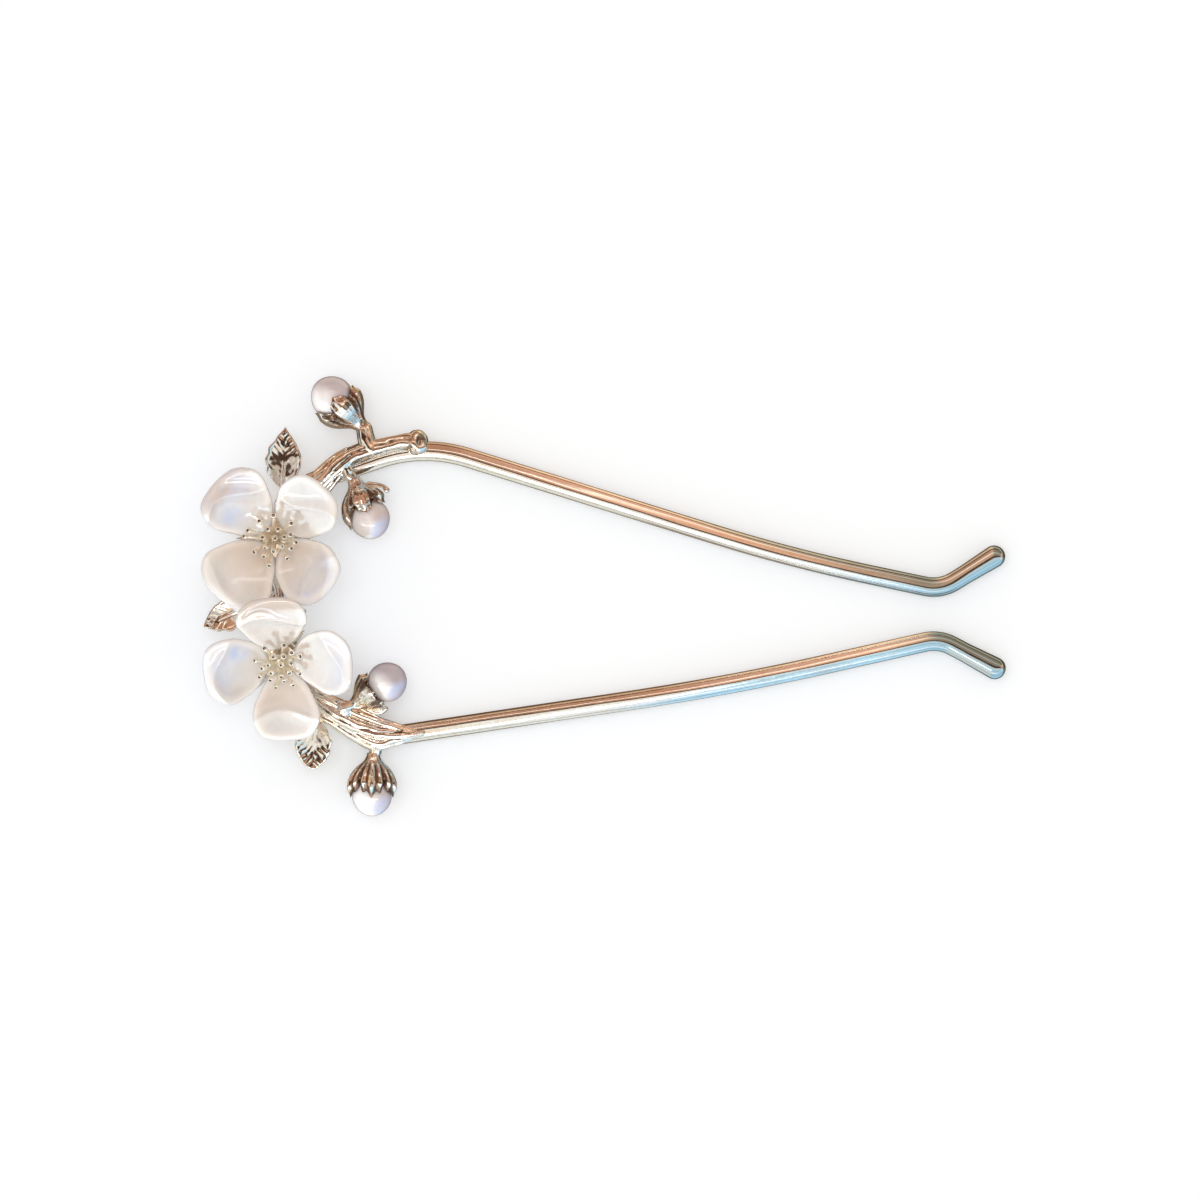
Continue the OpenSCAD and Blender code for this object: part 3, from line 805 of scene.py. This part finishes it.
def petal_shell(length, width, crease, seed, rings=34, around=128):
    """A thick, cupped petal, and for each point its warmth (a beige, partly painted shade), coolness (a painted
    blue reflection) and nearness to the rim.
    """
    at, height, swing, phase, warm, cool, tip, blue_reflection_patch = crease
    mid = np.array((length / 2, 0.0))

    def sheet(x, y):
        """How far the petal's middle surface is lifted at x, y."""
        v = 2 * y / width
        base = 1.1 * v * v + 0.5 * (x / length) ** 2
        line = length * (at + swing * sin(2.3 * v + phase))
        ridge = height * exp(-(abs(x - line) / (0.085 * length)) ** 1.2) * (1 - 0.35 * v * v)
        beyond = -0.3 * height * fade(x - line, 0, 0.25 * length)
        dip = -0.3 * height * bump(x, 0.38 * length, 0.2 * length) * (1 - 0.5 * v * v)
        return base + ridge + beyond + dip + 0.1 * grain(x / 3.4 + seed, y / 3.4, 0.5)

    def tone_and_light_at(u, v, share):
        # Coolness: a painted blue reflection towards the outside and in the patch
        blue = cool * fade(u, 0.3, 0.95)
        if blue_reflection_patch:
            blue = max(0.6 * blue, bump(u, blue_reflection_patch[0], 0.17) * bump(v, blue_reflection_patch[1], 0.3))
        # Warmth: a beige at the root that is partly painted shade, and painted shade at the outside
        return max(warm * (1 - fade(u, 0.12, 0.85)), tip * fade(u, 0.66, 0.84)), blue, share

    def ring(share, side):
        thick = 0.65 * sqrt(max(1 - share ** 5, 0))
        lip = 0.1 * bump(share, 0.88, 0.09)
        row = []
        for a in angles(around):
            s, c = sin(a), cos(a)
            edge = 1 + 0.018 * sin(3 * a + seed) + 0.012 * sin(7 * a + 2 * seed)
            rim = np.array((length * (1 + c) / 2, width / 2 * copysign(abs(s) ** 0.76, s) * (1 + 0.32 * c)))
            x, y = mid + share * edge * (rim - mid) * (1 / 1.03)
            p = np.array((x, y, sheet(x, y) + side * (thick + lip)))
            row.append((p, tone_and_light_at(x / length, 2 * y / width, share)))
        return row

    shares = [0.012] + [1 - (1 - k / rings) ** 2 for k in range(1, rings + 1)]
    rows = [ring(s, 1) for s in shares] + [ring(s, -1) for s in reversed(shares[:-1])]
    tone_and_light = [t for row in rows for _, t in row] + [rows[0][0][1], rows[-1][0][1]]
    return loft([[(p, PLAIN) for p, _ in row] for row in rows]), tone_and_light


def build_petals(which):
    move = flower_move(which)
    rise = turn(-PETAL_RISE, "Y")
    root = np.array((PETAL_ROOT, 0, 0.8))
    for k, (way, length, width) in enumerate(FLOWERS[which][3]):
        spin = turn(way, "Z")
        shell, tone_and_light = petal_shell(length, width, CREASES[which][k], PETAL_SEEDS[which] + 3.1 * k)
        shell = place(shell, lambda p: move(spin @ (root + rise @ p)))
        dress(f"petal_{which}_{k + 1}", "_glass", mesh_of(shell), "petal_opal", tone_and_light=tone_and_light)


def sepal(steps=30, around=20):
    """A pointed sepal with a vein along its middle, its base at the origin and its tip along X."""
    rows = []
    for k in range(steps + 1):
        u = k / steps
        half = max(0.62 * sin(pi * min(0.3 + 0.7 * u, 1.0)) ** 0.9, 0.05)
        row = []
        for a in angles(around):
            y = half * cos(a)
            vein = 0.16 * bump(y, 0, 0.28) if sin(a) > 0 else -0.1 * bump(y, 0, 0.3)
            z = 0.18 * sin(a) + vein + 0.16 * (y / 0.8) ** 2 + 0.25 * u * u
            row.append((np.array((4.7 * u, y, z)), 0.45 + 2 * abs(vein)))
        rows.append(row)
    return loft(rows)


def build_cup(which):
    """The cup that the petals are bedded in, on its neck, with four veined sepals."""
    centre = FLOWERS[which][:2]
    move = flower_move(which)
    neck = lathe([(NIB, PAD_TOP), (1.95, PAD_TOP), (1.8, 4.1), (1.7, 4.5), (1.7, 5.6), (NIB, 5.6)], centre)
    dish = lathe([(NIB, -0.7), (1.7, -0.6), (2.3, -0.25), (3.0, 0.25), (3.6, 0.85), (3.6, 0.97), (3.5, 1.0),
                  (2.6, 0.42), (1.3, 0.08), (NIB, 0.05)])
    shells = [neck, place(dish, move)]
    rise = turn(-13, "Y")
    start = np.array((2.2, 0, -0.35))
    for way in SEPALS[which]:
        spin = turn(way, "Z")
        shells.append(place(sepal(), lambda p: move(spin @ (start + rise @ p))))
    shell = join(shells)
    shank = RIVET_R + GAP
    hole = lathe([(NIB, 3), (shank, 3), (shank, 5.1), (NIB, 5.1)], centre)
    mesh = boolean(fuse(shell, 0.085, 1), "DIFFERENCE", [hole])
    dress("flower_cup_" + which, "_cast", mesh, "cast_gold", *carry(mesh, shell))


def filament(way, reach, up, rng, around=16):
    """A bent filament that swells into a bead with a small pit on top."""
    way += rng.uniform(-4, 4)
    reach *= rng.uniform(0.95, 1.05)
    up *= rng.uniform(0.92, 1.06)
    out = turn(way, "Z")[:, 0]
    start = out * min(0.42, reach * 0.3) + UP * (BOSS_H + 0.7)
    end = out * reach + UP * (BOSS_H + up)
    mid = (start + end) / 2 + UP * 0.28 * reach / 4 + np.cross(out, UP) * rng.uniform(-0.35, 0.35)
    bead = BEAD_R * rng.uniform(0.88, 1.04)
    points = [(1 - t) ** 2 * start + 2 * t * (1 - t) * mid + t * t * end for t in np.linspace(0, 1, 15)]
    tip = unit(unit(end - mid) + 0.9 * UP)
    rows = []

    def ring(p, r, along, relief):
        side = unit(np.cross(UP + 0.001 * out, along))
        other = np.cross(along, side)
        rows.append([(p + r * towards(a, side, other), relief) for a in angles(around)])

    for k, p in enumerate(points[:-1]):
        ring(p, 0.2 + 0.1 * k / 14, unit(points[k + 1] - points[max(k - 1, 0)]), 0.6)
    for a in np.linspace(-62, 58, 9):
        s, c = sin(radians(a)), cos(radians(a))
        ring(end + tip * bead * s, bead * c, tip, 0.8)
    # The pit, its low relief marking it for painted shade
    for rise, r, relief in ((0.76, 0.46, 0.08), (0.35, 0.3, 0.0)):
        ring(end + tip * bead * rise, bead * r, tip, relief)
    return loft(rows)


def build_stamens(which):
    rng = random.Random(STAMEN_SEEDS[which])
    boss = [(NIB, 0.1), (0.98, 0.1), (1.05, 0.6), (1.2, 1.0), (1.24, 1.4), (1.1, 1.9), (0.75, 2.3), (0.35, 2.5),
            (NIB, 2.54)]
    # An outer ring that leans out further the lower it is, an inner ring of seven and one in the middle
    plan = [(way, reach, 4.9 - 0.32 * reach) for way, reach in FILAMENTS[which]]
    plan += [(15 + k * 360 / 7, 1.9, 3.6) for k in range(7)] + [(40, 0.3, 3.2)]
    shells = [lathe(boss, around=32)] + [filament(*one, rng) for one in plan]
    shells = [place(shell, flower_move(which)) for shell in shells]
    mesh = union(shells)
    dress("stamens_" + which, "_cast", mesh, "stamen_gold", *carry(mesh, join(shells)))


# ---- buds

def bud_move(which):
    """From a bud's own frame, with its pearl's middle at the origin and its tip along Z."""
    low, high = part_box("pearl_" + which)
    centre = np.array((low + high) / 2) / MM
    spin = turn(BUDS[which][0], "Z") @ turn(90, "Y")
    return lambda p: centre + spin @ p


# The sides on which the pearls get a painted glow (towards the key) and a painted blue reflection
KEY_LIT_SIDE = unit((-0.6, -0.62, 0.5))
BLUE_LIT_SIDE = unit((0.68, -0.5, 0.5))


def build_pearl(which, around=96, steps=60):
    way, size, _, _ = BUDS[which]
    r = PEARL_R * size
    move = bud_move(which)
    seed = way / 31
    # The blind hole for the peg, then the outside, drawn out a little towards the tip
    bottom, mouth = 0.36, -sqrt(r * r - PEG_R * PEG_R)
    profile = [(NIB, bottom + 0.02)]
    profile += [(PEG_R, bottom + (mouth - bottom) * t) for t in (0, 0.25, 0.5, 0.75, 0.97)]
    hole_rings = len(profile)
    start = asin(PEG_R / r)
    for k in range(steps + 1):
        a = start + 0.03 + (pi - start - 0.04) * k / steps
        tip = fade(-cos(a), 0.2, 1.0)
        profile.append((r * sin(a) * (1 - 0.03 * tip), -r * cos(a) * (1 + 0.03 * tip)))
    rows = []
    for k, (radius, z) in enumerate(profile):
        row = circle(radius, z, around)
        if k > hole_rings:
            row = [(p * (1 + 0.006 * grain(p[0] / 2 + seed, p[1] / 2, p[2] / 2)), plain) for p, plain in row]
        rows.append(row)
    shell = place(loft(rows), move)
    middle = move(np.zeros(3))
    # Painted light at each point: a glow towards the key, a blue reflection on the lower right, then the
    # pearl's own greyness
    tone_and_light = []
    for p in shell[0]:
        out = unit(p - middle)
        tone_and_light.append((fade(out @ KEY_LIT_SIDE, 0.05, 0.8), fade(out @ BLUE_LIT_SIDE, 0.62, 0.98), GREY_PEARLS[which]))
    dress("pearl_" + which, "_drop", mesh_of(shell), "pearl", tone_and_light=tone_and_light)


def outer_radius(z, ball, wall):
    """Radius of the calyx's outside at height z: a stem that opens into a bowl."""
    zs, rs = zip(*BOWL)
    return float(np.interp(z, zs, rs)) * (ball + wall) / BOWL_FOR


def build_calyx(which, around=180, steps=60, inner_steps=24):
    """A ribbed bowl with five pointed sepals, open towards the pearl's tip."""
    way, size, back, reach = BUDS[which]
    r = PEARL_R * size + GLUE
    move = bud_move(which)
    seed = way / 17
    fine_ribs, rib_h, rim_shade = CALYX_RIBS[which]
    stem_z, floor_z = BOWL[0][0], -r * 0.985
    curl_h = 0.45 * max(reach[0], 0) * 0.3

    def edge(a):
        """Height of the rim at angle a, and how far a is from a sepal's middle, from 0 to 1."""
        at = (a - pi) / (TAU / 5)
        k = round(at)
        d = abs(at - k) * 2
        tooth = 1.6 * rib_h * cos(fine_ribs * (a - pi))
        return -back - 1.1 * d * d + reach[k % 5] * (1 - d) ** 0.9 + tooth, d

    def outside(a, t):
        rim, d = edge(a)
        z = stem_z + (rim - stem_z) * t ** 0.85
        ribs = (0.12 * cos(5 * (a - pi)) * fade(z, -6.2, -3.4)
                + rib_h * cos(fine_ribs * (a - pi)) * fade(z, -7.0, -3.0)
                + 0.08 * grain(2 * cos(a), 2 * sin(a), z / 2 + seed))
        near = fade(rim - z, 0.0, 1.6)
        inner = sqrt(max(r * r - z * z, 0.0)) if z > -r else 0.0
        out = outer_radius(z, r - GLUE, GLUE + CALYX_WALL) + ribs * (0.35 + 0.65 * near)
        if z > -r * 0.9:
            thin = inner + 0.22 + 0.1 * near
            curl = curl_h * (1 - fade(rim - z, 0, 1.1)) * (1 - d)
            out = max(thin + (out - thin) * (0.25 + 0.75 * near), inner + 0.16) + curl
        # Painted shade: the relief, and with it the patina, is pulled down towards the rim
        relief = (0.34 + 1.9 * ribs) * (1 - rim_shade * (1 - fade(rim - z, 0.3, 2.0)))
        return np.array((out * cos(a), out * sin(a), z)), relief

    def inside(a, t):
        rim, d = edge(a)
        z = max(rim + (floor_z - rim) * t ** 0.6, floor_z)
        inner = sqrt(max(r * r - z * z, 0.01)) + curl_h * (1 - fade(rim - z, 0, 1.1)) * (1 - d)
        return np.array((inner * cos(a), inner * sin(a), z)), 0.15

    rows = [[outside(a, k / steps) for a in angles(around)] for k in range(steps + 1)]
    rows += [[inside(a, k / inner_steps) for a in angles(around)] for k in range(1, inner_steps + 1)]
    # The bore for the peg
    rows += [[(p, 0.2) for p, _ in circle(PEG_R + GAP, z, around)] for z in (floor_z, -5.2)]
    shells = [place(loft(rows), move)]
    if which in TENDRILS:
        side, route = TENDRILS[which]
        way_out = turn(side, "Z")[:, 0]
        thick = (0.5, 0.42, 0.36, 0.5)
        route = [(*move(way_out * out + UP * z), t) for (out, z), t in zip(route, thick)]
        shells.append(limb(route, 3, 0.03, 0.2, seed, around=20))
    mesh = union(shells)
    dress("calyx_" + which, "_cast", mesh, "cast_gold", *carry(mesh, join(shells)))


# ---- put it together

build_fork()
build_branch("upper_branch", UPPER_LIMBS, 5, 0.17, [knob(np.array((-32.4, 26.5, 5.7)), 2.25)])
build_branch("crown_stem", CROWN_LIMBS, 5, 0.14)
build_branch("lower_branch", LOWER_LIMBS, 6, 0.2,
             [torus_ring(np.array((-45.0, -20.0, 5.2)), np.array((1, 0.45, 0.5)), 1.15, 0.3)])
for number, leaf_name in enumerate(LEAVES):
    build_leaf(leaf_name, 1.0 + 2.3 * number)
for flower in FLOWERS:
    build_petals(flower)
    build_cup(flower)
    build_stamens(flower)
for bud in BUDS:
    build_pearl(bud)
    build_calyx(bud)

# Pegs and rivets keep their CAD shapes
for cad_name, cad_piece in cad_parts.items():
    if cad_name.startswith(("peg_", "flower_rivet_")):
        cad_piece.data.materials.clear()
        cad_piece.data.materials.append(PEG_BRASS if cad_name.startswith("peg_") else RIVET_GOLD)


# ---- floor, light and camera

WHITE = (1.0, 1.0, 1.0)
# Strength of what polished metal mirrors
STUDIO = 1.6
# Radius and half length of the tent, in metres
TENT_R, TENT_HALF = 0.12, 0.32

# What polished metal mirrors all round: degrees from straight up towards the warm side (+Y), and a colour
MIRRORED = [
    (-180, (0.14, 0.13, 0.12)), (-128, (0.22, 0.2, 0.19)), (-119, (0.5, 0.59, 0.7)), (-92, (0.55, 0.64, 0.76)),
    (-86, (0.24, 0.27, 0.3)), (-80, (0.54, 0.63, 0.76)), (-62, (0.6, 0.67, 0.8)), (-46, (0.62, 0.68, 0.79)),
    (-40, (0.4, 0.41, 0.42)), (-33, (0.61, 0.66, 0.74)), (-15, (0.6, 0.63, 0.67)), (-9, (0.42, 0.4, 0.38)),
    (-5, (0.05, 0.03, 0.02)), (9, (0.06, 0.034, 0.022)), (15, (0.6, 0.37, 0.26)), (24, (0.46, 0.26, 0.17)),
    (33, (0.62, 0.39, 0.27)), (38, (0.84, 0.68, 0.55)), (45, (0.78, 0.62, 0.5)), (51, (0.42, 0.24, 0.17)),
    (73, (0.6, 0.36, 0.25)), (80, (0.1, 0.05, 0.03)), (90, (0.14, 0.075, 0.05)), (96, (0.72, 0.54, 0.36)),
    (118, (0.72, 0.54, 0.36)), (128, (0.16, 0.1, 0.065)), (180, (0.11, 0.07, 0.05)),
]
# How those colours change along X in the tent, in millimetres, on the cool and on the warm side
COOL_TINTS = [
    (-110, (0.96, 0.88, 0.7)), (-50, (0.97, 0.9, 0.74)), (13, (0.99, 0.95, 0.86)), (32, (0.6, 0.86, 1.0)),
    (110, (0.6, 0.86, 1.0)),
]
WARM_TINTS = [
    (-110, (0.6, 0.57, 0.56)), (-14, (0.6, 0.55, 0.53)), (18, (0.96, 0.94, 0.98)), (44, (1.0, 0.98, 0.98)),
    (58, (0.62, 0.76, 0.84)), (72, (0.44, 0.58, 0.66)), (110, (0.4, 0.55, 0.64)),
]
# Windows and dark bars in the tent, which draw thin lines on the petals and the metal:
# degrees from straight up, half the width in degrees, first and last x in millimetres, brightness and colour
WINDOWS = [
    (-38, 3.5, -165, 40, 4.5, WHITE),
    (-59, 2.6, 20, 110, 1.1, WHITE),
    (-52, 3.0, -60, -5, 4.0, (0.62, 0.8, 1.0)),
    (43, 1.6, -150, 25, 1.6, (1.0, 0.95, 0.9)),
    (-36, 8.0, -150, -112, 3.0, WHITE),
    (-25, 6.0, -88, -26, 0.62, (1.0, 0.66, 0.45)),
    (26, 4.5, -80, -6, 0.1, (1.0, 0.6, 0.4)),
]


def direction(nodes, vector):
    """The angle of a vector from straight up, in degrees towards +Y, and its x."""
    x, y, z = nodes.parts(vector)
    return nodes.maths("DEGREES", nodes.maths("ARCTAN2", y, z)), x


def mirrored(nodes, side):
    stops = [((angle + 180) / 360, colour) for angle, colour in MIRRORED]
    return nodes.ramp(nodes.span(side, -180, 180), stops)


def build_tent():
    """A tube of light round the object. Only polished surfaces see it."""
    around = 96
    mesh = bpy.data.meshes.new("tent")
    points = [(x, TENT_R * sin(a), TENT_R * cos(a))
              for x in (-TENT_HALF, TENT_HALF) for a in angles(around)]
    faces = [(i, (i + 1) % around, around + (i + 1) % around, around + i) for i in range(around)]
    mesh.from_pydata(points, [], faces)
    material = bpy.data.materials.new("tent")
    material.use_nodes = True
    nodes = Nodes(material.node_tree)
    nodes.tree.nodes.clear()
    side, x = direction(nodes, nodes.node("TexCoord").outputs["Object"])
    first, last = COOL_TINTS[0][0], COOL_TINTS[-1][0]
    across = nodes.span(x, first * MM, last * MM)
    cool, warm = (nodes.ramp(across, [((at - first) / (last - first), tint) for at, tint in tints])
                  for tints in (COOL_TINTS, WARM_TINTS))
    # The cool tints fade out before the top, where the warm ones take over
    cool = nodes.mix(nodes.span(side, -24, -10), cool, WHITE)
    tints = nodes.mix(nodes.span(side, -4, 4), cool, warm)
    colour = nodes.mix(1.0, mirrored(nodes, side), tints, "MULTIPLY")
    for angle, wide, start, end, power, tint in WINDOWS:
        reach = (end - start) / 2 * MM
        off, past = nodes.distance(side, angle), nodes.distance(x, (start + end) / 2 * MM)
        inside = nodes.times(nodes.span(off, wide, 0.6 * wide), nodes.span(past, reach, 0.8 * reach))
        colour = nodes.mix(inside, colour, tuple(power * c for c in tint))
    glow = nodes.node("Emission", {"Color": colour, "Strength": STUDIO})
    nodes.node("OutputMaterial", {"Surface": glow.outputs[0]})
    mesh.materials.append(material)
    tent = add("tent", mesh)
    tent.visible_camera = tent.visible_diffuse = tent.visible_shadow = False
    tent.visible_transmission = tent.visible_volume_scatter = False


def build_world():
    """Warm light on what isn't polished, the mirrored colours past the tent's ends, and a white background."""
    world = bpy.data.worlds.new("studio")
    world.use_nodes = True
    nodes = Nodes(world.node_tree)
    nodes.tree.nodes.clear()
    side, _ = direction(nodes, nodes.node("TexCoord").outputs["Generated"])
    studio, soft, plain = (
        nodes.node("Background", {"Color": colour, "Strength": strength}).outputs[0]
        for colour, strength in ((mirrored(nodes, side), STUDIO), ((0.79, 0.7, 0.6), 1.0), (WHITE, 1.0)))
    path = nodes.node("LightPath").outputs
    lit = nodes.node("MixShader", {0: path["Is Glossy Ray"], 1: soft, 2: studio}).outputs[0]
    seen = nodes.node("MixShader", {0: path["Is Camera Ray"], 1: lit, 2: plain}).outputs[0]
    nodes.node("OutputWorld", {"Surface": seen})
    bpy.context.scene.world = world


def build_floor():
    """A pale floor just under the object. Its own faint glow makes up for what the object shades."""
    half, z = 3.0, -0.0001
    mesh = bpy.data.meshes.new("floor")
    corners = [(-half, -half, z), (half, -half, z), (half, half, z), (-half, half, z)]
    mesh.from_pydata(corners, [], [(0, 1, 2, 3)])
    floor = add("floor", mesh)
    floor.visible_glossy = False
    look = Look("pale_floor", Roughness=0.7, Specular_IOR_Level=0.0,
                Emission_Color=(1.0, 0.95, 0.87), Emission_Strength=0.31)
    colour = look.mix(look.noise(0.01, 2), (0.73, 0.825, 0.965), (0.75, 0.845, 0.985))
    look.feed(look.shader.inputs["Base Color"], colour)
    mesh.materials.append(look.material)
    return floor


def area_light(name, way, height, far, size, radiance, colour):
    """A square panel that faces the object. Angles are in degrees, lengths in metres."""
    data = bpy.data.lights.new(name, "AREA")
    data.shape = "SQUARE"
    data.size = size
    data.energy = radiance * pi * size * size
    data.color = colour
    lamp = add(name, data)
    way, height = radians(way), radians(height)
    lamp.location = (far * cos(height) * cos(way), far * cos(height) * sin(way), far * sin(height))
    lamp.rotation_mode = "QUATERNION"
    lamp.rotation_quaternion = (-lamp.location).to_track_quat("-Z", "Y")
    lamp.visible_camera = lamp.visible_glossy = False
    return lamp


def build_lights(floor):
    area_light("overhead", 150, 82, 0.9, 0.55, 1.6, WHITE)
    # The key throws the stamens' shadows on the petals, but doesn't light the floor
    key = area_light("key", 233, 23, 0.8, 0.03, 1000, (0.7, 0.88, 1.0))
    spared = bpy.data.collections.new("not_lit_by_key")
    spared.objects.link(floor)
    spared.collection_objects[0].light_linking.link_state = "EXCLUDE"
    key.light_linking.receiver_collection = spared


def build_camera():
    """Straight above, as far off as the long lens needs for a view 210 mm wide."""
    height, view, sensor = 1.2, 0.21, 36
    data = bpy.data.cameras.new("camera")
    data.sensor_width = sensor
    data.lens = sensor * height / view
    data.clip_end = 100
    camera = add("camera", data)
    centre = (cad_low + cad_high) / 2
    # Off the middle by as much as the photo's object is
    camera.location = (centre.x - 0.0008, centre.y - 0.0007, height)
    bpy.context.scene.camera = camera


build_world()
build_tent()
build_lights(build_floor())
build_camera()
bpy.context.scene.view_settings.view_transform = "Standard"
